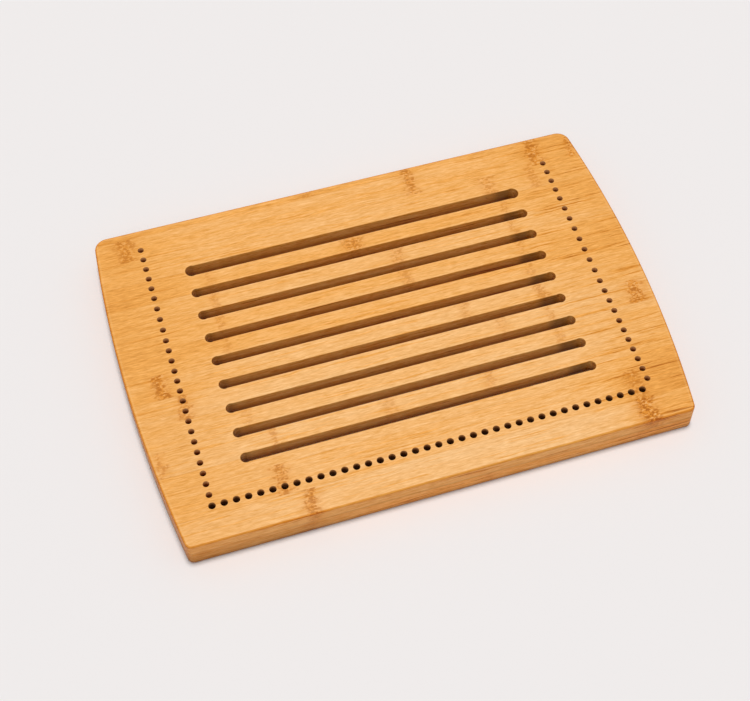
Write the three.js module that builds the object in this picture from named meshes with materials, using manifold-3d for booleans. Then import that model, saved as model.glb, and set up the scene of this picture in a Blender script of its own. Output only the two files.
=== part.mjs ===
// Bamboo bread board: two plies of glued strips, nine crumb slots and a U of drilled holes
// over an open crumb space. Millimetres, +Z up, origin at the middle of the underside,
// +X along the board to the right, +Y to the back.

import * as THREE from 'three';
import { mergeVertices } from 'three/addons/utils/BufferGeometryUtils.js';
import Module from 'manifold-3d';

// Board outline: each end is one arc, furthest out at its tip
const boardLength = 400;
const boardWidth = 275;
const leftEndRadius = 1090;
const leftTipY = 33;
const rightEndRadius = 935;
const rightTipY = 5;
const frontCornerRadius = 5;
const backCornerRadius = 10;
const rimRadius = 1.5;

// Plies
const upperPlyThickness = 10.5;
const lowerPlyThickness = 13.5;

// Slots, counted from the front. Insets run from the board's edges: to the slots' ends, and to the
// centre lines of the front and the back slot
const slotCount = 9;
const slotWidth = 7.3;
const slotEndDiameter = 7.9;
const backSlotWidth = 9;
const backSlotEndDiameter = 9.7;
const slotRimEase = 0.4;
const slotLeftInset = 65.35;
const slotRightInset = 66.65;
const frontSlotInset = 57.1;
const backSlotInset = 49;

// Front row of holes: the first stands on the corner it shares with the left column
const frontHoleCount = 38;
const frontHoleDiameter = 5.2;
const frontRowInset = 27;
const frontRowEndInset = 42;

// Side columns: runs of gaps from the front, each a share of the side pitch
const sideHoleDiameter = 4.6;
const leftColumnInset = 37.5;
const leftColumnBackInset = 19;
const rightColumnInset = 35;
const rightColumnStart = 7.7;
const rightColumnLean = 2.6;
const leftRuns = [
  { gapCount: 13, pitchShare: 0.975 },
  { gapCount: 3, pitchShare: 1.02 },
  { gapCount: 4, pitchShare: 1.095 },
  { gapCount: 5, pitchShare: 1.035 },
];
const rightRuns = [
  { gapCount: 6, pitchShare: 0.985 },
  { gapCount: 4, pitchShare: 1.06 },
  { gapCount: 8, pitchShare: 1.155 },
  { gapCount: 4, pitchShare: 1.035 },
];

// Upper strips in front of the slots and behind them
const frontStripWidth = 20.2;
const holeRowStripWidth = 24.9;
const backStripCount = 2;
const backEdgeStripWidth = 6.1;

// Crumb space under the top, and the strips of the lower ply round it
const railWidth = 14;
const endBlockLength = 28;
const crumbSpaceRadius = 12;
const lowerStripCount = 13;

// Smoothness, and how far a cutter runs past what it cuts
const endSegments = 18;
const cornerSegments = 5;
const rimSegments = 3;
const holeSegments = 12;
const slotEndSegments = 12;
const overrun = 2;

const boardThickness = lowerPlyThickness + upperPlyThickness;
const halfLength = boardLength / 2;
const halfWidth = boardWidth / 2;
const slotLength = boardLength - slotLeftInset - slotRightInset;
const slotPitch = (boardWidth - frontSlotInset - backSlotInset) / (slotCount - 1);
const frontRowY = -halfWidth + frontRowInset;

const wasm = await Module();
wasm.setup();

// Solids and meshes

function solidFrom(geometry) {
  geometry.deleteAttribute('normal');
  geometry.deleteAttribute('uv');
  const merged = mergeVertices(geometry);
  return new wasm.Manifold(new wasm.Mesh({
    numProp: 3,
    vertProperties: new Float32Array(merged.attributes.position.array),
    triVerts: new Uint32Array(merged.index.array),
  }));
}

function meshFrom(name, solid, material) {
  const { vertProperties, triVerts } = solid.getMesh();
  const geometry = new THREE.BufferGeometry();
  geometry.setAttribute('position', new THREE.BufferAttribute(vertProperties, 3));
  geometry.setIndex(new THREE.BufferAttribute(triVerts, 1));
  geometry.computeVertexNormals();
  const mesh = new THREE.Mesh(geometry, material);
  mesh.name = name;
  return mesh;
}

function boxBetween(low, high) {
  const size = new THREE.Vector3().subVectors(high, low);
  const box = new THREE.BoxGeometry(size.x, size.y, size.z);
  const middle = new THREE.Vector3().addVectors(low, high).divideScalar(2);
  return solidFrom(box.translate(middle.x, middle.y, middle.z));
}

// Board outline: straight long edges, an arc at each end, rounded corners

function addArc(points, { centre, radius }, from, to, segments) {
  for (let i = 0; i <= segments; i += 1) {
    const angle = from + ((to - from) * i) / segments;
    points.push(new THREE.Vector2(radius, 0).rotateAround(new THREE.Vector2(), angle).add(centre));
  }
}

// A corner is the circle that touches a long edge and, from inside, the end's arc
function cornerCircle(side, edge, end) {
  const radius = edge > 0 ? backCornerRadius : frontCornerRadius;
  const y = edge * (halfWidth - radius);
  const reach = Math.sqrt((end.radius - radius) ** 2 - (y - end.centre.y) ** 2);
  const turn = Math.asin((side * (y - end.centre.y)) / (end.radius - radius));
  return { radius, turn, centre: new THREE.Vector2(end.centre.x + side * reach, y) };
}

function addEnd(points, side, radius, tipY) {
  const end = { radius, centre: new THREE.Vector2(side * (halfLength - radius), tipY) };
  const near = cornerCircle(side, -side, end);
  const far = cornerCircle(side, side, end);
  const outward = side > 0 ? 0 : Math.PI;
  addArc(points, near, outward - Math.PI / 2, outward + near.turn, cornerSegments);
  addArc(points, end, outward + near.turn, outward + far.turn, endSegments);
  addArc(points, far, outward + far.turn, outward + Math.PI / 2, cornerSegments);
}

function boardShape() {
  const points = [];
  addEnd(points, 1, rightEndRadius, rightTipY);
  addEnd(points, -1, leftEndRadius, leftTipY);
  return new THREE.Shape(points);
}

function boardBlank() {
  const blank = new THREE.ExtrudeGeometry(boardShape(), {
    depth: boardThickness - 2 * rimRadius,
    bevelEnabled: true,
    bevelThickness: rimRadius,
    bevelSize: rimRadius,
    bevelOffset: -rimRadius,
    bevelSegments: rimSegments,
  });
  return solidFrom(blank.translate(0, 0, rimRadius));
}

// Cutters

function slotY(index) {
  return -halfWidth + frontSlotInset + index * slotPitch;
}

function slotShape(index) {
  const isBack = index === slotCount - 1;
  const halfSlot = (isBack ? backSlotWidth : slotWidth) / 2;
  const endRadius = (isBack ? backSlotEndDiameter : slotEndDiameter) / 2;
  const neck = Math.asin(halfSlot / endRadius);
  const endX = slotLength / 2 - endRadius;
  const shape = new THREE.Shape();
  shape.absarc(endX, 0, endRadius, neck - Math.PI, Math.PI - neck, false);
  shape.absarc(-endX, 0, endRadius, neck, 2 * Math.PI - neck, false);
  return shape;
}

// A slot's cutter is the straight slot, and a wider head that eases its rim at the top face
function slotCutter(index) {
  const shape = slotShape(index);
  const x = (slotLeftInset - slotRightInset) / 2;
  const straight = new THREE.ExtrudeGeometry(shape, {
    depth: upperPlyThickness + 2 * overrun,
    bevelEnabled: false,
    curveSegments: slotEndSegments,
  });
  const head = new THREE.ExtrudeGeometry(shape, {
    depth: overrun,
    bevelEnabled: true,
    bevelThickness: slotRimEase,
    bevelSize: slotRimEase,
    bevelSegments: 1,
    curveSegments: slotEndSegments,
  });
  straight.translate(x, slotY(index), lowerPlyThickness - overrun);
  head.translate(x, slotY(index), boardThickness);
  return solidFrom(straight).add(solidFrom(head));
}

function holeCutter({ x, y, diameter }) {
  const height = upperPlyThickness + 2 * overrun;
  const cutter = new THREE.CylinderGeometry(diameter / 2, diameter / 2, height, holeSegments);
  cutter.rotateX(Math.PI / 2);
  return solidFrom(cutter.translate(x, y, lowerPlyThickness + upperPlyThickness / 2));
}

function distancesBack(runs, pitch) {
  const distances = [0];
  for (const { gapCount, pitchShare } of runs) {
    for (let i = 0; i < gapCount; i += 1) {
      distances.push(distances.at(-1) + pitchShare * pitch);
    }
  }
  return distances;
}

function frontRowPlaces() {
  const leftX = -halfLength + leftColumnInset;
  const pitch = (halfLength - frontRowEndInset - leftX) / (frontHoleCount - 1);
  const places = [];
  for (let i = 0; i < frontHoleCount; i += 1) {
    places.push({ x: leftX + i * pitch, y: frontRowY, diameter: frontHoleDiameter });
  }
  return places;
}

function columnPlaces() {
  const pitches = leftRuns.reduce((sum, run) => sum + run.gapCount * run.pitchShare, 0);
  const pitch = (halfWidth - leftColumnBackInset - frontRowY) / pitches;
  const left = distancesBack(leftRuns, pitch).slice(1).map((distance) => ({
    x: -halfLength + leftColumnInset,
    y: frontRowY + distance,
    diameter: sideHoleDiameter,
  }));
  const distances = distancesBack(rightRuns, pitch);
  const right = distances.map((distance) => ({
    x: halfLength - rightColumnInset - (rightColumnLean * distance) / distances.at(-1),
    y: frontRowY + rightColumnStart + distance,
    diameter: sideHoleDiameter,
  }));
  return [...left, ...right];
}

function crumbSpaceCutter() {
  const x = halfLength - endBlockLength - crumbSpaceRadius;
  const y = halfWidth - railWidth - crumbSpaceRadius;
  const shape = new THREE.Shape();
  shape.absarc(x, y, crumbSpaceRadius, 0, Math.PI / 2, false);
  shape.absarc(-x, y, crumbSpaceRadius, Math.PI / 2, Math.PI, false);
  shape.absarc(-x, -y, crumbSpaceRadius, Math.PI, 1.5 * Math.PI, false);
  shape.absarc(x, -y, crumbSpaceRadius, 1.5 * Math.PI, 2 * Math.PI, false);
  const cutter = new THREE.ExtrudeGeometry(shape, {
    depth: lowerPlyThickness + overrun,
    bevelEnabled: false,
    curveSegments: cornerSegments,
  });
  return solidFrom(cutter.translate(0, 0, -overrun));
}

// Upper ply: seams on the slots' centre lines, wider strips in front, plain strips behind

function upperStrips() {
  const seams = [-halfWidth, -halfWidth + frontStripWidth];
  seams.push(-halfWidth + frontStripWidth + holeRowStripWidth);
  const names = ['top_front_strip', 'top_hole_row_strip', 'top_narrow_strip'];
  for (let i = 0; i < slotCount; i += 1) {
    seams.push(slotY(i));
    names.push(`top_slat_${i + 1}`);
  }
  names[names.length - 1] = 'top_back_strip_1';
  const backStripWidth = (backSlotInset - backEdgeStripWidth) / backStripCount;
  for (let i = 1; i <= backStripCount; i += 1) {
    seams.push(slotY(slotCount - 1) + i * backStripWidth);
    names.push(`top_back_strip_${i + 1}`);
  }
  names[names.length - 1] = 'top_back_edge_strip';
  seams.push(halfWidth);
  return names.map((name, i) => ({ name, front: seams[i], back: seams[i + 1] }));
}

function upperPly(blank, material) {
  const cutters = [...frontRowPlaces(), ...columnPlaces()].map((place) => ({
    solid: holeCutter(place),
    front: place.y - place.diameter / 2,
    back: place.y + place.diameter / 2,
  }));
  const reach = Math.max(slotEndDiameter, backSlotEndDiameter) / 2 + slotRimEase;
  for (let i = 0; i < slotCount; i += 1) {
    cutters.push({ solid: slotCutter(i), front: slotY(i) - reach, back: slotY(i) + reach });
  }
  return upperStrips().map(({ name, front, back }) => {
    const low = new THREE.Vector3(-boardLength, front, lowerPlyThickness);
    const high = new THREE.Vector3(boardLength, back, boardThickness + overrun);
    let solid = blank.intersect(boxBetween(low, high));
    for (const cutter of cutters) {
      if (cutter.back > front && cutter.front < back) {
        solid = solid.subtract(cutter.solid);
      }
    }
    return meshFrom(name, solid, material);
  });
}

// Lower ply: two full-length rails, and end blocks where the crumb space cuts a strip in two

function lowerPly(blank, railMaterial, blockMaterial) {
  const crumbSpace = crumbSpaceCutter();
  const stripWidth = boardWidth / lowerStripCount;
  const piece = (name, index, left, right, material) => {
    const front = -halfWidth + index * stripWidth;
    const low = new THREE.Vector3(left, front, -overrun);
    const high = new THREE.Vector3(right, front + stripWidth, lowerPlyThickness);
    return meshFrom(name, blank.intersect(boxBetween(low, high)).subtract(crumbSpace), material);
  };
  const last = lowerStripCount - 1;
  const pieces = [
    piece('base_front_rail', 0, -boardLength, boardLength, railMaterial),
    piece('base_back_rail', last, -boardLength, boardLength, railMaterial),
  ];
  for (let i = 1; i < last; i += 1) {
    const number = String(i).padStart(2, '0');
    pieces.push(piece(`base_left_block_${number}`, i, -boardLength, 0, blockMaterial));
    pieces.push(piece(`base_right_block_${number}`, i, 0, boardLength, blockMaterial));
  }
  return pieces;
}

// Whole board

function bamboo(colour) {
  return new THREE.MeshStandardMaterial({ color: colour, roughness: 0.5, metalness: 0 });
}

const board = new THREE.Group();
const blank = boardBlank();
board.add(...upperPly(blank, bamboo(0xefb46c)));
board.add(...lowerPly(blank, bamboo(0xc1854d), bamboo(0xc98d52)));

export default board;
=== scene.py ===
# Bamboo bread board on a pale table. Metres, +Z up, origin at the middle of the underside.

import math

import bmesh
import bpy
from mathutils import Matrix, Vector


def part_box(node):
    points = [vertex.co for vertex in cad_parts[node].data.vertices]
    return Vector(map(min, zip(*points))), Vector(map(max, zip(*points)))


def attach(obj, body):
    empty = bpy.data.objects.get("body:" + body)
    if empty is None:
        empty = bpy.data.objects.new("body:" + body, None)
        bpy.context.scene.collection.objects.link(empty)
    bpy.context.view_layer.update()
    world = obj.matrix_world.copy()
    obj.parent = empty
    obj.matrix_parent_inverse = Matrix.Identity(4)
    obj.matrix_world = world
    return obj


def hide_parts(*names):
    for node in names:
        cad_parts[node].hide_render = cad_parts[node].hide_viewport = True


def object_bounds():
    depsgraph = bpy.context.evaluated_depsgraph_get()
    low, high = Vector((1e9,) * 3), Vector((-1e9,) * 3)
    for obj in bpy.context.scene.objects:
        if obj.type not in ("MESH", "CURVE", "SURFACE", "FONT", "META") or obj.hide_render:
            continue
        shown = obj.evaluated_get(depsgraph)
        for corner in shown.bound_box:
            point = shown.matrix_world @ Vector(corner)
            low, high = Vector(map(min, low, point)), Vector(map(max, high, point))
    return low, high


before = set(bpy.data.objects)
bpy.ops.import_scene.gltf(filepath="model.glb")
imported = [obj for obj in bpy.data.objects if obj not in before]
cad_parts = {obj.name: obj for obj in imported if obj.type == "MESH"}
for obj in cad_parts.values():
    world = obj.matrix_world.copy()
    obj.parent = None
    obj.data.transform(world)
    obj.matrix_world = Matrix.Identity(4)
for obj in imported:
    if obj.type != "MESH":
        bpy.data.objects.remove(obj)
cad_low, cad_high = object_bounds()

# Board outline, as in the solids: each end is one arc, furthest out at its tip
LEFT_END_RADIUS = 1.090
LEFT_TIP_Y = 0.033
RIGHT_END_RADIUS = 0.935
RIGHT_TIP_Y = 0.005
FRONT_CORNER_RADIUS = 0.005
BACK_CORNER_RADIUS = 0.010
RIM_RADIUS = 0.0015

ENDS = ((1, RIGHT_END_RADIUS, RIGHT_TIP_Y), (-1, LEFT_END_RADIUS, LEFT_TIP_Y))

# Slots, counted from the front
SLOT_COUNT = 9
SLOT_WIDTH = 0.0073
SLOT_END_DIAMETER = 0.0079
BACK_SLOT_WIDTH = 0.009
BACK_SLOT_END_DIAMETER = 0.0097
SLOT_RIM_EASE = 0.0004
SLOT_LEFT_INSET = 0.06535
SLOT_RIGHT_INSET = 0.06665

# Holes: a front row and two side columns, whose gaps come in runs (how many, share of the pitch)
FRONT_HOLE_COUNT = 38
FRONT_HOLE_DIAMETER = 0.0052
FRONT_ROW_INSET = 0.027
FRONT_ROW_END_INSET = 0.042
SIDE_HOLE_DIAMETER = 0.0046
LEFT_COLUMN_INSET = 0.0375
LEFT_COLUMN_BACK_INSET = 0.019
RIGHT_COLUMN_INSET = 0.035
RIGHT_COLUMN_START = 0.0077
RIGHT_COLUMN_LEAN = 0.0026
LEFT_RUNS = ((13, 0.975), (3, 1.02), (4, 1.095), (5, 1.035))
RIGHT_RUNS = ((6, 0.985), (4, 1.06), (8, 1.155), (4, 1.035))
HOLE_RIM_EASE = 0.0002

# Crumb space
RAIL_WIDTH = 0.014
END_BLOCK_LENGTH = 0.028
CRUMB_SPACE_RADIUS = 0.012
CRUMB_RIM_EASE = 0.0008

# Smoothness of the meshes
END_SEGMENTS = 64
CORNER_SEGMENTS = 16
RIM_SEGMENTS = 8
EASE_SEGMENTS = 4
HOLE_EASE_SEGMENTS = 2
HOLE_SEGMENTS = 32
SLOT_END_SEGMENTS = 28
SMOOTH_ANGLE = math.radians(35)
NORMAL_WEIGHT = 100

# Closer than this is the same point, or the same plane
SAME_POINT = 1e-7
SAME_PLANE = 1e-5

# How far cutters run past the board, and a plane beyond each of its ends
OVERRUN = 0.002
BEYOND = 1.0

HALF_LENGTH = cad_high[0]
HALF_WIDTH = cad_high[1]
TOP_Z = cad_high[2]
PLY_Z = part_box("top_slat_1")[0].z
ROW_Y = -HALF_WIDTH + FRONT_ROW_INSET

# The photo's slot walls are taller than the upper ply, so over the crumb space the upper strips
# reach further down, as a web. It stays clear of the space's wall and of the seams
WEB = 0.0020
WEB_WALL_GAP = 0.0001
WEB_SEAM_GAP = 0.00001

# A slot's centre line is the seam in front of the strip behind it
BEHIND_SLOTS = [f"top_slat_{i}" for i in range(1, SLOT_COUNT)] + ["top_back_strip_1"]
SLOT_YS = [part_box(node)[0].y for node in BEHIND_SLOTS]

# Camera, found from the holes, the slots and the outline
CAMERA_PLACE = (-0.20128, -0.63305, 1.00406)
CAMERA_RIGHT = (0.951104, -0.308000, 0.023168)
CAMERA_BACK = (-0.189841, -0.523764, 0.830441)
PHOTO_WIDTH = 750
FOCAL_PIXELS = 1589.8
SENSOR_WIDTH = 36.0
SHIFT_X = -0.0667
SHIFT_Y = -0.0273

# Light: a key from almost overhead, a wide fill from the front, and an even surround. Each lamp's
# share is of the light that falls on the table
KEY_SHARE = 0.58
KEY_ANGLE = math.radians(12)
KEY_TURN = (math.radians(-3.5), math.radians(2))
FILL_SHARE = 0.10
FILL_ANGLE = math.radians(34)
FILL_TURN = (math.radians(33), math.radians(-10))
SURROUND_SHARE = 0.32
TABLE_COLOUR = (0.868, 0.838, 0.832)
TABLE_SIZE = 12.0
TABLE_CELLS = 4

# Bamboo colours, linear: the top's from pale to dark, what is mixed over it, and tints that
# multiply it. The slot walls' tints and the bores' colours run from the top down, darker below as
# drill browning and painted shade
TONES = (
    (0.0, (0.94, 0.61, 0.31)),
    (0.5, (0.89, 0.41, 0.092)),
    (0.8, (0.72, 0.265, 0.028)),
    (1.0, (0.50, 0.150, 0.010)),
)
# Golden flecks in the knuckles, and also the painted highlight: pale lines inside the rims
LIGHT_FIBRE_AND_HIGHLIGHT = (0.98, 0.63, 0.28)
AMBER = (0.74, 0.25, 0.012)
KNUCKLE = (0.40, 0.110, 0.004)
GLUE = (0.50, 0.185, 0.020)
SIDE_TINT = (0.97, 0.81, 0.54)
UNDER_RIM_TINT = (0.97, 0.92, 0.78)
LOW_LEFT_TINT = (0.76, 0.75, 0.68)
# Painted shade: the sides and the rounded underside darker near the table
FOOT_SHADE_TINT = (0.56, 0.54, 0.53)
END_TINT = (0.86, 0.76, 0.66)
# Painted shade on the rounded rims
RIM_SHADE_TINT = (0.84, 0.66, 0.30)
# Partly drill burn, partly painted shade that deepens down the slot
WALL_BURN_AND_SHADE_TINTS = (
    (0.10, (1.0, 0.93, 0.50)),
    (0.45, (1.0, 0.97, 0.70)),
    (0.75, (0.80, 0.68, 0.26)),
    (1.0, (0.54, 0.34, 0.04)),
)
# The slots' ends darker, partly burn and partly painted shade in the corners
SCORCH_AND_SHADE_TINT = (0.48, 0.42, 0.36)
# Bore colours from the top to the depth; the dark end is partly painted shade
ROW_BORE = ((0.95, 0.46, 0.16), (0.17, 0.057, 0.015))
COLUMN_BORE = ((1.0, 0.56, 0.23), (0.40, 0.095, 0.006))
GLOSS = 0.15
BORE_GLOSS = 0.02


# Outlines: lists of points in the plane, anticlockwise

def on_circle(centre, radius, angle):
    return Vector((centre[0] + radius * math.cos(angle), centre[1] + radius * math.sin(angle)))


def corner_circle(side, edge, end_x, end_radius, tip_y):
    """The circle of one corner, and the angle at which it meets the end's arc."""
    radius = BACK_CORNER_RADIUS if edge > 0 else FRONT_CORNER_RADIUS
    y = edge * (HALF_WIDTH - radius)
    reach = math.sqrt((end_radius - radius) ** 2 - (y - tip_y) ** 2)
    turn = math.asin(side * (y - tip_y) / (end_radius - radius))
    return (end_x + side * reach, y), radius, turn


def board_outline(inset):
    """The right end from front to back, then the left end from back to front."""
    points = []
    for side, radius, tip_y in ENDS:
        end_x = side * (HALF_LENGTH - radius)
        near = corner_circle(side, -side, end_x, radius, tip_y)
        far = corner_circle(side, side, end_x, radius, tip_y)
        outward = 0 if side > 0 else math.pi
        arcs = (
            (near[0], near[1], -math.pi / 2, near[2], CORNER_SEGMENTS),
            ((end_x, tip_y), radius, near[2], far[2], END_SEGMENTS),
            (far[0], far[1], far[2], math.pi / 2, CORNER_SEGMENTS),
        )
        for centre, arc_radius, start, stop, segments in arcs:
            for i in range(segments + 1):
                angle = outward + start + (stop - start) * i / segments
                points.append(on_circle(centre, arc_radius - inset, angle))
    return [p for i, p in enumerate(points) if (p - points[i - 1]).length > SAME_POINT]


def slot_outline(index, grow):
    """Two drilled ends, a little wider than the run between them."""
    is_back = index == SLOT_COUNT - 1
    half_slot = (BACK_SLOT_WIDTH if is_back else SLOT_WIDTH) / 2
    end_radius = (BACK_SLOT_END_DIAMETER if is_back else SLOT_END_DIAMETER) / 2
    left = -HALF_LENGTH + SLOT_LEFT_INSET + end_radius
    right = HALF_LENGTH - SLOT_RIGHT_INSET - end_radius
    neck = math.asin((half_slot + grow) / (end_radius + grow))
    points = []
    for x, start in ((right, neck - math.pi), (left, neck)):
        sweep = 2 * (math.pi - neck)
        for i in range(SLOT_END_SEGMENTS + 1):
            angle = start + sweep * i / SLOT_END_SEGMENTS
            points.append(on_circle((x, SLOT_YS[index]), end_radius + grow, angle))
    return points


def hole_outline(centre, radius):
    step = 2 * math.pi / HOLE_SEGMENTS
    return [on_circle(centre, radius, step * i) for i in range(HOLE_SEGMENTS)]


def crumb_outline(grow):
    x = HALF_LENGTH - END_BLOCK_LENGTH - CRUMB_SPACE_RADIUS
    y = HALF_WIDTH - RAIL_WIDTH - CRUMB_SPACE_RADIUS
    points = []
    for quarter, (cx, cy) in enumerate(((x, y), (-x, y), (-x, -y), (x, -y))):
        for i in range(CORNER_SEGMENTS + 1):
            angle = (quarter + i / CORNER_SEGMENTS) * math.pi / 2
            points.append(on_circle((cx, cy), CRUMB_SPACE_RADIUS + grow, angle))
    return points


# Solids: rings of points joined upwards and closed at both ends

def loft(mesh, rings):
    """Joins (outline, z) rings, given from the bottom up, into one closed form in mesh."""
    loops = [[mesh.verts.new((p.x, p.y, z)) for p in outline] for outline, z in rings]
    for low, high in zip(loops, loops[1:]):
        for i in range(len(low)):
            mesh.faces.new((low[i - 1], low[i], high[i], high[i - 1]))
    mesh.faces.new(reversed(loops[0]))
    mesh.faces.new(loops[-1])


def round_over(radius, segments):
    """(inset, height) steps of a quarter round, from the wall up to the face."""
    steps = [math.pi / 2 * i / segments for i in range(segments + 1)]
    return [(radius * (1 - math.cos(a)), radius * math.sin(a)) for a in steps]


def upper_blank():
    """The upper ply before it is cut into strips."""
    mesh = bmesh.new()
    rings = [(board_outline(0), PLY_Z)]
    for inset, height in round_over(RIM_RADIUS, RIM_SEGMENTS):
        rings.append((board_outline(inset), TOP_Z - RIM_RADIUS + height))
    loft(mesh, rings)
    return mesh


def web_blank():
    """The web, which reaches as far up into the upper ply as it reaches down."""
    mesh = bmesh.new()
    loft(mesh, [(crumb_outline(-WEB_WALL_GAP), z) for z in (PLY_Z - WEB, PLY_Z + WEB)])
    return mesh


def lower_blank():
    mesh = bmesh.new()
    rings = [(board_outline(0), PLY_Z)]
    for inset, height in round_over(RIM_RADIUS, RIM_SEGMENTS):
        rings.append((board_outline(inset), RIM_RADIUS - height))
    loft(mesh, rings[::-1])
    return mesh


def slab(blank, low, high, axis=1):
    """The part of blank between two planes across an axis, closed again at the cuts."""
    piece = blank.copy()
    for place, side in ((low, -1), (high, 1)):
        plane = Vector((0, 0, 0))
        plane[axis] = place
        normal = Vector((0, 0, 0))
        normal[axis] = side
        geometry = piece.verts[:] + piece.edges[:] + piece.faces[:]
        cut = bmesh.ops.bisect_plane(
            piece, geom=geometry, plane_co=plane, plane_no=normal, clear_outer=True,
            dist=SAME_POINT)
        edges = [e for e in cut["geom_cut"] if isinstance(e, bmesh.types.BMEdge)]
        if edges:
            bmesh.ops.contextual_create(piece, geom=edges)
    bmesh.ops.recalc_face_normals(piece, faces=piece.faces[:])
    return piece


# Cutters

def slot_cutter(mesh, index):
    rings = [(slot_outline(index, 0), PLY_Z - WEB - OVERRUN)]
    for grow, height in round_over(SLOT_RIM_EASE, EASE_SEGMENTS):
        rings.append((slot_outline(index, grow), TOP_Z - SLOT_RIM_EASE + height))
    rings.append((slot_outline(index, SLOT_RIM_EASE), TOP_Z + OVERRUN))
    loft(mesh, rings)


def hole_cutter(mesh, x, y, diameter):
    radius = diameter / 2
    rings = [(hole_outline((x, y), radius), PLY_Z - WEB - OVERRUN)]
    for grow, height in round_over(HOLE_RIM_EASE, HOLE_EASE_SEGMENTS):
        rings.append((hole_outline((x, y), radius + grow), TOP_Z - HOLE_RIM_EASE + height))
    rings.append((hole_outline((x, y), radius + HOLE_RIM_EASE), TOP_Z + OVERRUN))
    loft(mesh, rings)


def crumb_cutter(mesh):
    rings = [(crumb_outline(CRUMB_RIM_EASE), -OVERRUN)]
    for grow, height in reversed(round_over(CRUMB_RIM_EASE, EASE_SEGMENTS)):
        rings.append((crumb_outline(grow), CRUMB_RIM_EASE - height))
    rings.append((crumb_outline(0), PLY_Z + OVERRUN))
    loft(mesh, rings)


def distances_back(runs, pitch):
    """How far back from its first hole each hole of a column lies."""
    distances = [0.0]
    for gap_count, share in runs:
        for _ in range(gap_count):
            distances.append(distances[-1] + share * pitch)
    return distances


def hole_places():
    """(x, y, diameter) of every hole."""
    left_x = -HALF_LENGTH + LEFT_COLUMN_INSET
    row_pitch = (HALF_LENGTH - FRONT_ROW_END_INSET - left_x) / (FRONT_HOLE_COUNT - 1)
    places = [(left_x + i * row_pitch, ROW_Y, FRONT_HOLE_DIAMETER) for i in range(FRONT_HOLE_COUNT)]
    shares = sum(count * share for count, share in LEFT_RUNS)
    side_pitch = (HALF_WIDTH - LEFT_COLUMN_BACK_INSET - ROW_Y) / shares
    for distance in distances_back(LEFT_RUNS, side_pitch)[1:]:
        places.append((left_x, ROW_Y + distance, SIDE_HOLE_DIAMETER))
    distances = distances_back(RIGHT_RUNS, side_pitch)
    for distance in distances:
        x = HALF_LENGTH - RIGHT_COLUMN_INSET - RIGHT_COLUMN_LEAN * distance / distances[-1]
        places.append((x, ROW_Y + RIGHT_COLUMN_START + distance, SIDE_HOLE_DIAMETER))
    return places


def upper_cutter(front, back):
    """Every slot and hole that reaches between two seams, or None."""
    mesh = bmesh.new()
    for index in range(SLOT_COUNT):
        reach = BACK_SLOT_END_DIAMETER / 2 + SLOT_RIM_EASE
        if SLOT_YS[index] + reach > front and SLOT_YS[index] - reach < back:
            slot_cutter(mesh, index)
    for x, y, diameter in hole_places():
        reach = diameter / 2 + HOLE_RIM_EASE
        if y + reach > front and y - reach < back:
            hole_cutter(mesh, x, y, diameter)
    return mesh if mesh.verts else None


# Objects

def object_from(name, mesh):
    data = bpy.data.meshes.new(name)
    mesh.to_mesh(data)
    mesh.free()
    piece = bpy.data.objects.new(name, data)
    bpy.context.scene.collection.objects.link(piece)
    return piece


def combine(piece, mesh, operation):
    """Adds mesh to piece, or cuts it away. The mesh is used up."""
    other = object_from("other", mesh)
    step = piece.modifiers.new("combine", "BOOLEAN")
    step.operation = operation
    step.solver = "EXACT"
    step.object = other
    graph = bpy.context.evaluated_depsgraph_get()
    data = bpy.data.meshes.new_from_object(piece.evaluated_get(graph))
    piece.modifiers.clear()
    old = piece.data
    piece.data = data
    data.name = piece.name
    bpy.data.meshes.remove(old)
    bpy.data.meshes.remove(other.data)


def smooth(piece):
    """Rounds shade smoothly and flat faces stay flat."""
    mesh = bmesh.new()
    mesh.from_mesh(piece.data)
    bmesh.ops.remove_doubles(mesh, verts=mesh.verts[:], dist=SAME_POINT)
    for face in mesh.faces:
        face.smooth = True
    for edge in mesh.edges:
        edge.smooth = edge.is_manifold and edge.calc_face_angle(math.pi) < SMOOTH_ANGLE
    mesh.to_mesh(piece.data)
    mesh.free()
    weighted = piece.modifiers.new("weighted_normals", "WEIGHTED_NORMAL")
    weighted.keep_sharp = True
    weighted.weight = NORMAL_WEIGHT


# Bamboo: one material a strip, all from the same recipe

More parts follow.
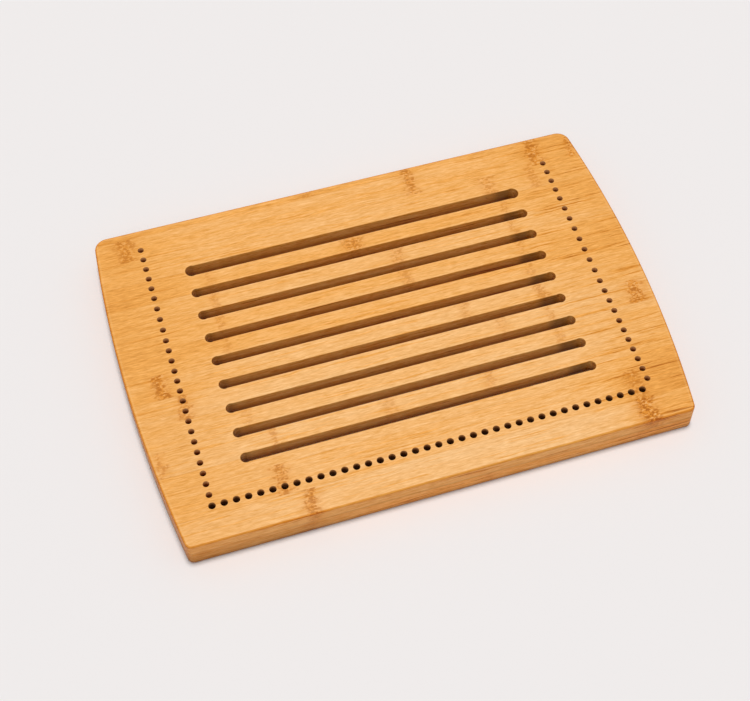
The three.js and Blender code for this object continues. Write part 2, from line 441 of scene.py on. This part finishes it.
# Knuckles by strip: place along X, half width, strength
KNUCKLES = {
    "top_front_strip": ((-0.0967, 0.0042, 0.85), (0.1556, 0.0060, 1.2)),
    "top_hole_row_strip": ((-0.1110, 0.0046, 0.75), (0.1545, 0.0052, 0.65)),
    "top_slat_1": ((-0.1895, 0.0030, 0.5), (-0.1084, 0.0025, 0.5), (-0.0220, 0.0050, 0.25),
                   (0.0545, 0.0030, 0.36)),
    "top_slat_2": ((-0.1210, 0.0025, 0.25), (0.1172, 0.0025, 0.35)),
    "top_slat_3": ((-0.1625, 0.0040, 0.7), (0.0790, 0.0030, 0.32), (0.1170, 0.0025, 0.35),
                   (0.1862, 0.0052, 1.0)),
    "top_slat_4": ((-0.1752, 0.0048, 1.0), (0.0560, 0.0035, 0.36), (0.1170, 0.0035, 0.5)),
    "top_slat_5": ((-0.1215, 0.0025, 0.3), (0.1170, 0.0025, 0.35)),
    "top_slat_6": ((-0.1205, 0.0025, 0.4), (0.0245, 0.0040, 0.4), (0.1170, 0.0025, 0.35)),
    "top_slat_7": ((-0.1195, 0.0025, 0.35), (0.0240, 0.0040, 0.5), (0.1172, 0.0025, 0.4)),
    "top_slat_8": ((-0.1180, 0.0025, 0.3), (-0.0060, 0.0062, 0.8), (0.1172, 0.0025, 0.35)),
    "top_back_strip_1": ((0.1120, 0.0050, 0.55), (0.1500, 0.0040, 0.4)),
    "top_back_strip_2": ((-0.1740, 0.0065, 0.75), (0.0540, 0.0040, 0.8), (0.1580, 0.0048, 1.0),
                         (0.1885, 0.0025, 0.9)),
    "top_back_edge_strip": ((-0.0280, 0.0040, 0.4), (0.0545, 0.0040, 0.9), (0.1585, 0.0042, 0.7)),
    "base_front_rail": ((-0.1010, 0.0040, 0.6), (0.0310, 0.0035, 0.5), (0.1480, 0.0045, 0.6)),
    "base_back_rail": ((-0.0520, 0.0040, 0.7), (0.1190, 0.0045, 0.6)),
}

# How deep a strip's colour is, from 0, pale, to 1. Strips that aren't named vary with their seed
DEPTHS = {
    "top_front_strip": 0.31,
    "top_hole_row_strip": 0.41,
    "top_narrow_strip": 0.38,
    "top_slat_1": 0.33,
    "top_slat_2": 0.35,
    "top_slat_3": 0.35,
    "top_slat_4": 0.39,
    "top_slat_5": 0.46,
    "top_slat_6": 0.46,
    "top_slat_7": 0.42,
    "top_slat_8": 0.49,
    "top_back_strip_1": 0.44,
    "top_back_strip_2": 0.46,
    "top_back_edge_strip": 0.53,
    "base_front_rail": 0.42,
}
LOWER_DEPTH = 0.28
LOWER_SPREAD = 0.07
LOWER_TURN = 2.4
FIRST_LOWER_SEED = 31

# Noises: cells a metre along X, Y and Z, octaves, roughness
NOISES = {
    "patch": ((38, 60, 60), 2.0, 0.5),
    "broad": ((6, 95, 95), 2.0, 0.5),
    "streak": ((50, 620, 620), 3.0, 0.6),
    "fine": ((150, 1250, 1250), 2.0, 0.6),
    "fibre": ((260, 2900, 2900), 2.0, 0.5),
    "vein": ((15, 560, 560), 3.0, 0.5),
    "curl": ((380, 640, 640), 2.0, 0.6),
    "knot": ((190, 260, 260), 1.0, 0.5),
    "seam": ((26, 9, 9), 2.0, 0.5),
    "bore": ((260, 260, 90), 2.0, 0.5),
    "bore_ring": ((90, 90, 1500), 2.0, 0.5),
}
NOISE_MIDDLE = 0.5
PORE_CELLS = (120, 1050, 1050)
SEED_SHIFT = (1.7, 0.9, 0.35)
WAVE_REACH = 0.0022

# The part of a mark's half width that is at full strength
NEAR_CORE = 0.2

# Shares of the noises and places below that add up to each value. "even" is 1 everywhere
DETAIL = {"streak": 0.46, "fine": 0.38, "fibre": 0.26, "vein": 0.26, "even": -0.59}
DETAIL_STRENGTH = {"side": 1.0, "toward_end": -0.20, "even": 1.0}
RIGHT_VEIN = {"vein": 1.0, "even": -0.10}
TONE = {"detail": 1.0, "broad": 0.28, "toward_end": 0.12, "front_right": 0.20,
        "side_vein": 0.22, "right_vein": 0.24}
TONE_LEVEL = -0.14
SHADE = {"fine": -0.44, "streak": -0.26, "fibre": -0.18, "toward_end": -0.03, "even": 1.43}
SQUIGGLE = {"curl": 0.8, "knot": 0.2}
RELIEF = {"height": 0.5, "streak": 1.0, "fine": 0.6}
BORE_UNEVEN = {"bore": 0.7, "even": -0.35}
BORE_BURN_AND_SHADE = {"depth": 1.0, "uneven": 1.0, "bore_ring": 0.35, "even": -0.175}

# Where a noise begins and ends to show
VEIN_CUT = (0.56, 0.72)
SQUIGGLE_CUT = (0.44, 0.54)
FLECK_CUT = (0.55, 0.66)
PORE_CUT = (0.16, 0.34)
ROUGHNESS_CUT = (0.3, 0.7)

# How much of a normal lies along Z, or along X for an end, where a kind of surface begins and ends
SIDE_FACING = (0.20, 0.75)
END_FACING = (0.55, 0.90)
FOOT_SHADE_FACING = (0.60, 0.95)
FLAT_FACING = (0.97, 0.995)
RIM_SHADE_FACING_FROM = (0.02, 0.25)
RIM_SHADE_FACING_TO = (0.93, 0.995)

# Parts of the board that differ in colour
TOWARD_END_X = (0.095, 0.195)
TOWARD_FRONT_Y = (-0.11, -0.03)
RIGHT_VEIN_X = (0.10, 0.16)
OUTER_INSET = (0.0040, 0.0055)
UNDER_RIM_Z = (0.0205, 0.0220)
LOW_LEFT_X = (-0.115, -0.045)
LOW_LEFT_Z = (0.008, 0.015)
# Where the painted shade at the foot begins and ends
FOOT_SHADE_Z = (0.0005, 0.0065)
SLOT_WALL_REACH = (0.0003, 0.0009)
ROW_BORE_REACH = (0.0035, 0.0055)

# Knuckles: how far their borders stray, how wide cloud and band are in half widths, and shares
KNUCKLE_BEND = 0.006
KNUCKLE_RAGGED = 0.012
CLOUD_WIDTH = 3.0
BAND_WIDTH = 1.7
CLOUD_SHARE = 0.26
BAND_SHARE = 0.70
SQUIGGLE_SHARE = 0.68
FLECK_SHARE = 0.42
SQUIGGLE_SINK = 0.25

# What the sides lose of the knuckles and of the darker front right
KNUCKLE_SIDE_LOSS = 0.5
FRONT_RIGHT_SIDE_LOSS = 0.8

# End grain, pale lines inside the rims that are painted highlights, the painted shade of the slots'
# rims against the board's, and darker places in the slots, partly burn and partly painted shade
# (along X, half width, share)
PORE_SHARE = 0.55
HIGHLIGHT_SHARE = 0.14
HIGHLIGHT_HALF_WIDTH = 0.0008
RIM_HIGHLIGHT_INSET = 0.0022
SLOT_HIGHLIGHT_INSET = 0.0009
SLOT_RIM_SHADE_SHARE = 0.25
SCORCH_AND_SHADE_PLACES = ((0.122, 0.011, 0.76), (-0.131, 0.006, 0.45))

# Glue: half widths, the share between the plies, and where and how much a seam shows
PLY_GLUE_HALF_WIDTH = 0.0017
PLY_GLUE_SHARE = 0.32
SEAM_HALF_WIDTH = 0.00045
SEAM_BREAKS = (0.40, 0.62, 0.02, 0.26)

# Bores: depths where the darkening from the top, partly drill browning and partly painted shade,
# begins and ends, and where it grows less at the bottom
ROW_BORE_DEPTH = (-0.0003, 0.0042)
COLUMN_BORE_DEPTH = (0.0010, 0.0052)
BORE_BOTTOM = (0.0095, 0.0120, 1.0, 0.45)

# Surfaces
ROUGHNESS = (0.42, 0.56)
BORE_ROUGHNESS = (0.65, 0.8)
BUMP_STRENGTH = 0.28
BORE_BUMP_STRENGTH = 0.3
BUMP_DISTANCE = 0.0002

# A face of a strip whose normal has less than this along Z is a wall
WALL_FACING = 0.5


class Graph:
    """Short names for building a material's nodes."""

    def __init__(self, tree):
        self.tree = tree

    def node(self, kind, **settings):
        node = self.tree.nodes.new(kind)
        for key, value in settings.items():
            setattr(node, key, value)
        return node

    def feed(self, socket, value):
        if isinstance(value, bpy.types.NodeSocket):
            self.tree.links.new(value, socket)
        else:
            socket.default_value = value

    def math(self, operation, first, second=0.0, clamp=False):
        node = self.node("ShaderNodeMath", operation=operation, use_clamp=clamp)
        self.feed(node.inputs[0], first)
        self.feed(node.inputs[1], second)
        return node.outputs[0]

    def total(self, *terms):
        """The sum of (share, value) terms."""
        result = None
        for share, value in terms:
            part = self.math("MULTIPLY", value, share)
            result = part if result is None else self.math("ADD", result, part)
        return result

    def weigh(self, shares, values):
        """The same, from shares and values by name."""
        return self.total(*((share, values[name]) for name, share in shares.items()))

    def times(self, first, *others):
        for other in others:
            first = self.math("MULTIPLY", first, other)
        return first

    def less(self, value, share):
        """1, less a share of value."""
        return self.math("SUBTRACT", 1.0, self.math("MULTIPLY", value, share))

    def vector(self, operation, first, second):
        node = self.node("ShaderNodeVectorMath", operation=operation)
        self.feed(node.inputs[0], first)
        self.feed(node.inputs[1], second)
        return node.outputs[0]

    def scaled(self, colour, share):
        node = self.node("ShaderNodeVectorMath", operation="SCALE")
        self.feed(node.inputs[0], colour)
        self.feed(node.inputs["Scale"], share)
        return node.outputs[0]

    def split(self, vector):
        node = self.node("ShaderNodeSeparateXYZ")
        self.feed(node.inputs[0], vector)
        return node.outputs

    def join(self, x, y, z):
        node = self.node("ShaderNodeCombineXYZ")
        for socket, value in zip(node.inputs, (x, y, z)):
            self.feed(socket, value)
        return node.outputs[0]

    def noise(self, place, kind):
        """Noise of one of the NOISES, mostly 0.3 to 0.7."""
        scales, octaves, roughness = NOISES[kind]
        node = self.node("ShaderNodeTexNoise")
        self.feed(node.inputs["Vector"], self.vector("MULTIPLY", place, scales))
        node.inputs["Scale"].default_value = 1.0
        node.inputs["Detail"].default_value = octaves
        node.inputs["Roughness"].default_value = roughness
        return node.outputs[0]

    def cells(self, place, scales):
        """Distance to the nearest of scattered points."""
        node = self.node("ShaderNodeTexVoronoi")
        self.feed(node.inputs["Vector"], self.vector("MULTIPLY", place, scales))
        node.inputs["Scale"].default_value = 1.0
        return node.outputs["Distance"]

    def ramp(self, value, low, high, to_low=0.0, to_high=1.0):
        node = self.node("ShaderNodeMapRange", interpolation_type="SMOOTHSTEP")
        self.feed(node.inputs["Value"], value)
        keys = ("From Min", "From Max", "To Min", "To Max")
        for key, number in zip(keys, (low, high, to_low, to_high)):
            node.inputs[key].default_value = number
        return node.outputs[0]

    def rise(self, value, span):
        return self.ramp(value, *span)

    def fall(self, value, span):
        return self.ramp(value, *span, 1.0, 0.0)

    def near(self, value, place, half_width):
        """1 at place, falling to 0 at half_width from it."""
        distance = self.math("ABSOLUTE", self.math("SUBTRACT", value, place))
        return self.fall(distance, (half_width * NEAR_CORE, half_width))

    def mix(self, share, first, second, blend="MIX"):
        node = self.node("ShaderNodeMix", data_type="RGBA", blend_type=blend)
        self.feed(node.inputs["Factor"], share)
        for socket, value in ((node.inputs[6], first), (node.inputs[7], second)):
            self.feed(socket, value if isinstance(value, bpy.types.NodeSocket) else (*value, 1.0))
        return node.outputs[2]

    def blend(self, value, stops):
        """A colour from (place, colour) stops along 0 to 1."""
        node = self.node("ShaderNodeValToRGB")
        self.feed(node.inputs[0], value)
        ramp = node.color_ramp
        while len(ramp.elements) < len(stops):
            ramp.elements.new(0.5)
        for element, (place, colour) in zip(ramp.elements, stops):
            element.position = place
            element.color = (*colour, 1.0)
        return node.outputs[0]

    def tint(self, share, colour, tint):
        return self.mix(share, colour, tint, "MULTIPLY")


def edge_distance(g, x, y):
    """How far inside the board's outline a point is."""
    result = g.math("SUBTRACT", HALF_WIDTH, g.math("ABSOLUTE", y))
    for side, radius, tip_y in ENDS:
        dx = g.math("SUBTRACT", x, side * (HALF_LENGTH - radius))
        dy = g.math("SUBTRACT", y, tip_y)
        square = g.math("ADD", g.math("MULTIPLY", dx, dx), g.math("MULTIPLY", dy, dy))
        result = g.math("MINIMUM", result, g.math("SUBTRACT", radius, g.math("SQRT", square)))
    return result


def slot_distance(g, x, y, index):
    """How far outside a slot's wall a point is."""
    half_slot = (BACK_SLOT_WIDTH if index == SLOT_COUNT - 1 else SLOT_WIDTH) / 2
    half_run = HALF_LENGTH - (SLOT_LEFT_INSET + SLOT_RIGHT_INSET) / 2 - half_slot
    middle_x = (SLOT_LEFT_INSET - SLOT_RIGHT_INSET) / 2
    from_middle = g.math("ABSOLUTE", g.math("SUBTRACT", x, middle_x))
    dx = g.math("MAXIMUM", g.math("SUBTRACT", from_middle, half_run), 0.0)
    dy = g.math("SUBTRACT", y, SLOT_YS[index])
    square = g.math("ADD", g.math("MULTIPLY", dx, dx), g.math("MULTIPLY", dy, dy))
    return g.math("SUBTRACT", g.math("SQRT", square), half_slot)


def strip_noises(g, place, seed):
    """A strip's noises by name, and the place where its grain is read, which wanders a little."""
    shifted = g.vector("ADD", place, tuple(seed * shift for shift in SEED_SHIFT))
    noises = {kind: g.noise(shifted, kind) for kind in ("patch", "curl", "knot")}
    stray = g.math("SUBTRACT", noises["patch"], NOISE_MIDDLE)
    wander = g.math("MULTIPLY", stray, WAVE_REACH)
    x, y, z = g.split(shifted)
    grain_place = g.join(x, g.math("ADD", y, wander), g.math("ADD", z, wander))
    for kind in ("broad", "streak", "fine", "fibre", "vein"):
        noises[kind] = g.noise(grain_place, kind)
    return noises, grain_place


def grain_colour(g, noises, x, y, side, depth):
    """Bands, streaks, veins and fibres."""
    vein = g.rise(noises["vein"], VEIN_CUT)
    values = dict(noises, vein=vein, side=side, even=1.0)
    values["toward_end"] = g.rise(g.math("ABSOLUTE", x), TOWARD_END_X)
    values["front_right"] = g.times(g.rise(x, TOWARD_END_X), g.fall(y, TOWARD_FRONT_Y),
                                    g.less(side, FRONT_RIGHT_SIDE_LOSS))
    values["side_vein"] = g.times(vein, side)
    values["right_vein"] = g.times(g.weigh(RIGHT_VEIN, values), g.rise(x, RIGHT_VEIN_X))
    values["detail"] = g.times(g.weigh(DETAIL, values), g.weigh(DETAIL_STRENGTH, values))
    tone = g.weigh({**TONE, "even": depth + TONE_LEVEL}, values)
    return g.scaled(g.blend(tone, TONES), g.weigh(SHADE, values))


def lay_knuckles(g, colour, noises, bent_x, side, knuckles):
    """Amber patches with a ragged border, with short dark squiggles between golden flecks.

    Returns the colour, and the fibres' height with the squiggles sunk into it.
    """
    ragged_x = g.total((1.0, bent_x), (KNUCKLE_RAGGED, noises["knot"]),
                       (-KNUCKLE_RAGGED * NOISE_MIDDLE, 1.0))
    squiggle = g.fall(g.weigh(SQUIGGLE, noises), SQUIGGLE_CUT)
    fleck = g.rise(noises["curl"], FLECK_CUT)
    shown = g.less(side, KNUCKLE_SIDE_LOSS)
    height = noises["fibre"]
    for x, half_width, strength in knuckles:
        cloud = g.times(g.near(bent_x, x, half_width * CLOUD_WIDTH), CLOUD_SHARE * strength, shown)
        band = g.times(g.near(ragged_x, x, half_width * BAND_WIDTH), shown)
        patch = g.math("MAXIMUM", cloud, g.times(band, BAND_SHARE * strength))
        colour = g.mix(patch, colour, AMBER)
        marks = g.times(band, squiggle)
        colour = g.mix(g.times(marks, SQUIGGLE_SHARE * strength), colour, KNUCKLE)
        colour = g.mix(g.times(band, fleck, FLECK_SHARE * strength), colour, LIGHT_FIBRE_AND_HIGHLIGHT)
        height = g.math("SUBTRACT", height, g.times(marks, SQUIGGLE_SINK * strength))
    return colour, height


def lay_end_grain(g, colour, grain_place, end_face):
    """A deeper tint, and dark pores that stand close together."""
    pore = g.fall(g.cells(grain_place, PORE_CELLS), PORE_CUT)
    colour = g.tint(end_face, colour, END_TINT)
    return g.mix(g.times(pore, end_face, PORE_SHARE), colour, KNUCKLE)


def lay_sides(g, colour, x, z, facing_up, side, outer):
    """Tints of the outer sides, of the band under the rim and of the low left, and painted shade
    that darkens the foot.
    """
    colour = g.tint(g.times(outer, side), colour, SIDE_TINT)
    colour = g.tint(g.times(outer, g.times(g.rise(z, UNDER_RIM_Z), side)), colour, UNDER_RIM_TINT)
    low_left = g.times(g.fall(x, LOW_LEFT_X), g.fall(z, LOW_LEFT_Z))
    colour = g.tint(g.times(outer, side, low_left), colour, LOW_LEFT_TINT)
    # Painted shade at the foot, where the sides meet the table
    foot_shade = g.times(g.fall(z, FOOT_SHADE_Z), g.fall(facing_up, FOOT_SHADE_FACING))
    return g.tint(g.times(outer, foot_shade), colour, FOOT_SHADE_TINT)


def lay_slots(g, colour, place, bent_x, side, seams):
    """Darkens the walls of the slots on a strip's seams, deeper down and at their ends, partly as
    burn and partly as painted shade.

    Returns the colour, and the painted highlight along the slots.
    """
    x, y, z = g.split(place)
    highlight = 0.0
    for index, slot_y in enumerate(SLOT_YS):
        if min(abs(slot_y - seam) for seam in seams) < SAME_PLANE:
            outside = slot_distance(g, x, y, index)
            wall = g.times(g.fall(outside, SLOT_WALL_REACH), side)
            sunk = g.math("DIVIDE", g.math("SUBTRACT", TOP_Z, z), TOP_Z - PLY_Z)
            # Partly drill burn, partly painted shade that deepens down the slot
            colour = g.tint(wall, colour, g.blend(sunk, WALL_BURN_AND_SHADE_TINTS))
            # The slots' ends darker, partly burn and partly painted shade in the corners
            scorched_and_shaded = [g.times(g.near(bent_x, dark_x, half_width), share)
                        for dark_x, half_width, share in SCORCH_AND_SHADE_PLACES]
            colour = g.tint(g.times(wall, g.math("MAXIMUM", *scorched_and_shaded)), colour, SCORCH_AND_SHADE_TINT)
            # Painted highlight: a pale line along the slot's rim
            line = g.times(g.near(outside, SLOT_HIGHLIGHT_INSET, HIGHLIGHT_HALF_WIDTH), HIGHLIGHT_SHARE)
            highlight = g.math("MAXIMUM", highlight, line)
    return colour, highlight


def lay_rims(g, colour, facing_up, inside, outer, highlight):
    """A pale line inside each rim, a painted highlight, and painted shade, a deeper tint, on the
    rims themselves.
    """
    # Painted highlight: a pale line inside the board's rim
    line = g.times(g.near(inside, RIM_HIGHLIGHT_INSET, HIGHLIGHT_HALF_WIDTH), HIGHLIGHT_SHARE)
    highlight = g.math("MAXIMUM", line, highlight)
    colour = g.mix(g.times(highlight, g.rise(facing_up, FLAT_FACING)), colour, LIGHT_FIBRE_AND_HIGHLIGHT)
    # Painted shade: the rounded rims deeper, the slots' rims less so
    rim_shade = g.times(g.rise(facing_up, RIM_SHADE_FACING_FROM), g.fall(facing_up, RIM_SHADE_FACING_TO))
    share = g.ramp(outer, 0.0, 1.0, SLOT_RIM_SHADE_SHARE, 1.0)
    return g.tint(g.times(rim_shade, share), colour, RIM_SHADE_TINT)


def lay_glue(g, colour, place, outer, seams):
    """A soft line at the plies' joint, and fainter broken ones at the seams between strips."""
    _, y, z = g.split(place)
    glue = g.times(g.near(z, PLY_Z, PLY_GLUE_HALF_WIDTH), g.times(outer, PLY_GLUE_SHARE))
    broken = g.ramp(g.noise(place, "seam"), *SEAM_BREAKS)
    for seam in seams:
        if abs(seam) < HALF_WIDTH - SAME_PLANE:
            line = g.times(g.near(y, seam, SEAM_HALF_WIDTH), broken)
            glue = g.math("MAXIMUM", glue, line)
    return g.mix(glue, colour, GLUE)


def new_material(name):
    material = bpy.data.materials.new(name)
    material.use_nodes = True
    material.node_tree.nodes.clear()
    return material, Graph(material.node_tree)


def surface(g, colour, roughness, gloss, height, bump_strength):
    """Ends a material in its shader."""
    shader = g.node("ShaderNodeBsdfPrincipled")
    g.feed(shader.inputs["Base Color"], colour)
    g.feed(shader.inputs["Roughness"], roughness)
    shader.inputs["Specular IOR Level"].default_value = gloss
    bump = g.node("ShaderNodeBump")
    bump.inputs["Strength"].default_value = bump_strength
    bump.inputs["Distance"].default_value = BUMP_DISTANCE
    g.feed(bump.inputs["Height"], height)
    g.feed(shader.inputs["Normal"], bump.outputs[0])
    output = g.node("ShaderNodeOutputMaterial")
    g.feed(output.inputs["Surface"], shader.outputs[0])


def bamboo(name, seed, depth, knuckles, seams):
    material, g = new_material("bamboo_" + name)
    place = g.node("ShaderNodeTexCoord").outputs["Object"]
    x, y, z = g.split(place)
    normal_x, _, normal_z = g.split(g.node("ShaderNodeNewGeometry").outputs["Normal"])
    facing_up = g.math("ABSOLUTE", normal_z)
    side = g.fall(facing_up, SIDE_FACING)
    end_face = g.rise(g.math("ABSOLUTE", normal_x), END_FACING)
    inside = edge_distance(g, x, y)
    outer = g.fall(inside, OUTER_INSET)

    noises, grain_place = strip_noises(g, place, seed)
    stray = g.math("SUBTRACT", noises["patch"], NOISE_MIDDLE)
    bent_x = g.math("ADD", x, g.math("MULTIPLY", stray, KNUCKLE_BEND))

    colour = grain_colour(g, noises, x, y, side, depth)
    colour, height = lay_knuckles(g, colour, noises, bent_x, side, knuckles)
    colour = lay_end_grain(g, colour, grain_place, end_face)
    colour = lay_sides(g, colour, x, z, facing_up, side, outer)
    colour, highlight = lay_slots(g, colour, place, bent_x, side, seams)
    colour = lay_rims(g, colour, facing_up, inside, outer, highlight)
    colour = lay_glue(g, colour, place, outer, seams)

    roughness = g.ramp(noises["streak"], *ROUGHNESS_CUT, *ROUGHNESS)
    relief = g.weigh(RELIEF, dict(noises, height=height))
    surface(g, colour, roughness, GLOSS, relief, BUMP_STRENGTH)
    return material


def bored_bamboo():
    """The walls of the drilled holes, browned by the drill and, as painted shade, darker with
    depth.
    """
    material, g = new_material("bored_bamboo")
    place = g.node("ShaderNodeTexCoord").outputs["Object"]
    _, y, z = g.split(place)
    sunk = g.math("SUBTRACT", TOP_Z, z)
    bottom = g.ramp(sunk, *BORE_BOTTOM)
    rings = g.noise(place, "bore_ring")
    values = {"bore": g.noise(place, "bore"), "bore_ring": rings, "even": 1.0}
    values["uneven"] = g.weigh(BORE_UNEVEN, values)
    colours = []
    for span, bore in ((COLUMN_BORE_DEPTH, COLUMN_BORE), (ROW_BORE_DEPTH, ROW_BORE)):
        # Drill browning by noise and rings, and painted shade that deepens down the hole
        burn_and_shade = g.weigh(BORE_BURN_AND_SHADE, dict(values, depth=g.rise(sunk, span)))
        colours.append(g.mix(g.math("MULTIPLY", burn_and_shade, bottom, clamp=True), *bore))
    row = g.fall(y, [ROW_Y + reach for reach in ROW_BORE_REACH])
    roughness = g.ramp(rings, *ROUGHNESS_CUT, *BORE_ROUGHNESS)
    surface(g, g.mix(row, *colours), roughness, BORE_GLOSS, rings, BORE_BUMP_STRENGTH)
    return material


# Pieces

def paint_holes(piece, holes):
    """Gives the hole walls their own material slot, the second one."""
    for face in piece.data.polygons:
        if abs(face.normal.z) < WALL_FACING:
            middle = face.center
            for x, y, diameter in holes:
                if math.hypot(middle.x - x, middle.y - y) < diameter / 2 + HOLE_RIM_EASE:
                    face.material_index = 1


def add_piece(node, mesh, cutter, seed, depth, web=None):
    low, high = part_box(node)
    piece = object_from("strip_" + node, mesh)
    if web is not None and web.verts:
        combine(piece, web, "UNION")
    if cutter is not None:
        combine(piece, cutter, "DIFFERENCE")
    smooth(piece)
    piece.data.materials.clear()
    seams = (low.y, high.y)
    piece.data.materials.append(bamboo(node, seed, depth, KNUCKLES.get(node, ()), seams))
    holes = [hole for hole in hole_places() if low.y - hole[2] < hole[1] < high.y + hole[2]]
    if node.startswith("top_") and holes:
        piece.data.materials.append(bpy.data.materials.get("bored_bamboo") or bored_bamboo())
        paint_holes(piece, holes)
    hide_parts(node)
    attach(piece, "root")


def upper_pieces():
    blank = upper_blank()
    web = web_blank()
    nodes = sorted(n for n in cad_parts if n.startswith("top_"))
    for seed, node in enumerate(nodes, start=1):
        low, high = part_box(node)
        strip = slab(blank, low.y, high.y)
        strip_web = slab(web, low.y + WEB_SEAM_GAP, high.y - WEB_SEAM_GAP)
        cutter = upper_cutter(low.y, high.y)
        add_piece(node, strip, cutter, seed, DEPTHS[node], strip_web)
    blank.free()
    web.free()


def lower_pieces():
    blank = lower_blank()
    nodes = sorted(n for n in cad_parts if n.startswith("base_"))
    for seed, node in enumerate(nodes, start=FIRST_LOWER_SEED):
        low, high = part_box(node)
        strip = slab(blank, low.y, high.y)
        if "block" in node:
            half = (-BEYOND, 0.0) if "left" in node else (0.0, BEYOND)
            whole = strip
            strip = slab(whole, *half, axis=0)
            whole.free()
        cutter = bmesh.new()
        crumb_cutter(cutter)
        depth = DEPTHS.get(node, LOWER_DEPTH + LOWER_SPREAD * math.sin(seed * LOWER_TURN))
        add_piece(node, strip, cutter, seed, depth)
    blank.free()


# Stage, light and camera

def table():
    mesh = bmesh.new()
    bmesh.ops.create_grid(
        mesh, x_segments=TABLE_CELLS, y_segments=TABLE_CELLS, size=TABLE_SIZE / 2)
    top = object_from("table", mesh)
    material = bpy.data.materials.new("table")
    material.use_nodes = True
    shader = material.node_tree.nodes["Principled BSDF"]
    shader.inputs["Base Color"].default_value = (*TABLE_COLOUR, 1.0)
    shader.inputs["Roughness"].default_value = 1.0
    shader.inputs["Specular IOR Level"].default_value = 0.0
    top.data.materials.append(material)


def sun(name, share, angle, turn):
    """A lamp that gives the table its share of the light."""
    data = bpy.data.lights.new(name, "SUN")
    data.energy = share * math.pi / (math.cos(turn[0]) * math.cos(turn[1]))
    data.angle = angle
    lamp = bpy.data.objects.new(name, data)
    lamp.rotation_euler = (*turn, 0)
    bpy.context.scene.collection.objects.link(lamp)


def lights():
    """Two lamps and the surround, behind which the camera sees the table's colour."""
    sun("key", KEY_SHARE, KEY_ANGLE, KEY_TURN)
    sun("fill", FILL_SHARE, FILL_ANGLE, FILL_TURN)

    world = bpy.data.worlds.new("surround")
    bpy.context.scene.world = world
    world.use_nodes = True
    world.node_tree.nodes.clear()
    g = Graph(world.node_tree)
    path = g.node("ShaderNodeLightPath").outputs
    seen = g.math("MAXIMUM", path["Is Camera Ray"], path["Is Glossy Ray"])
    seen = g.math("MAXIMUM", seen, path["Is Transmission Ray"])
    even = g.node("ShaderNodeBackground")
    even.inputs["Color"].default_value = (1.0, 1.0, 1.0, 1.0)
    even.inputs["Strength"].default_value = SURROUND_SHARE
    behind = g.node("ShaderNodeBackground")
    behind.inputs["Color"].default_value = (*TABLE_COLOUR, 1.0)
    either = g.node("ShaderNodeMixShader")
    g.feed(either.inputs[0], seen)
    g.feed(either.inputs[1], even.outputs[0])
    g.feed(either.inputs[2], behind.outputs[0])
    output = g.node("ShaderNodeOutputWorld")
    g.feed(output.inputs[0], either.outputs[0])


def camera():
    data = bpy.data.cameras.new("camera")
    data.sensor_width = SENSOR_WIDTH
    data.lens = FOCAL_PIXELS * SENSOR_WIDTH / PHOTO_WIDTH
    data.shift_x = SHIFT_X
    data.shift_y = SHIFT_Y
    right = Vector(CAMERA_RIGHT).normalized()
    back = Vector(CAMERA_BACK).normalized()
    up = back.cross(right).normalized()
    turn = Matrix((right, up, back)).transposed().to_4x4()
    eye = bpy.data.objects.new("camera", data)
    eye.matrix_world = Matrix.Translation(CAMERA_PLACE) @ turn
    bpy.context.scene.collection.objects.link(eye)
    bpy.context.scene.camera = eye


upper_pieces()
lower_pieces()
table()
lights()
camera()
bpy.context.scene.view_settings.view_transform = "Standard"
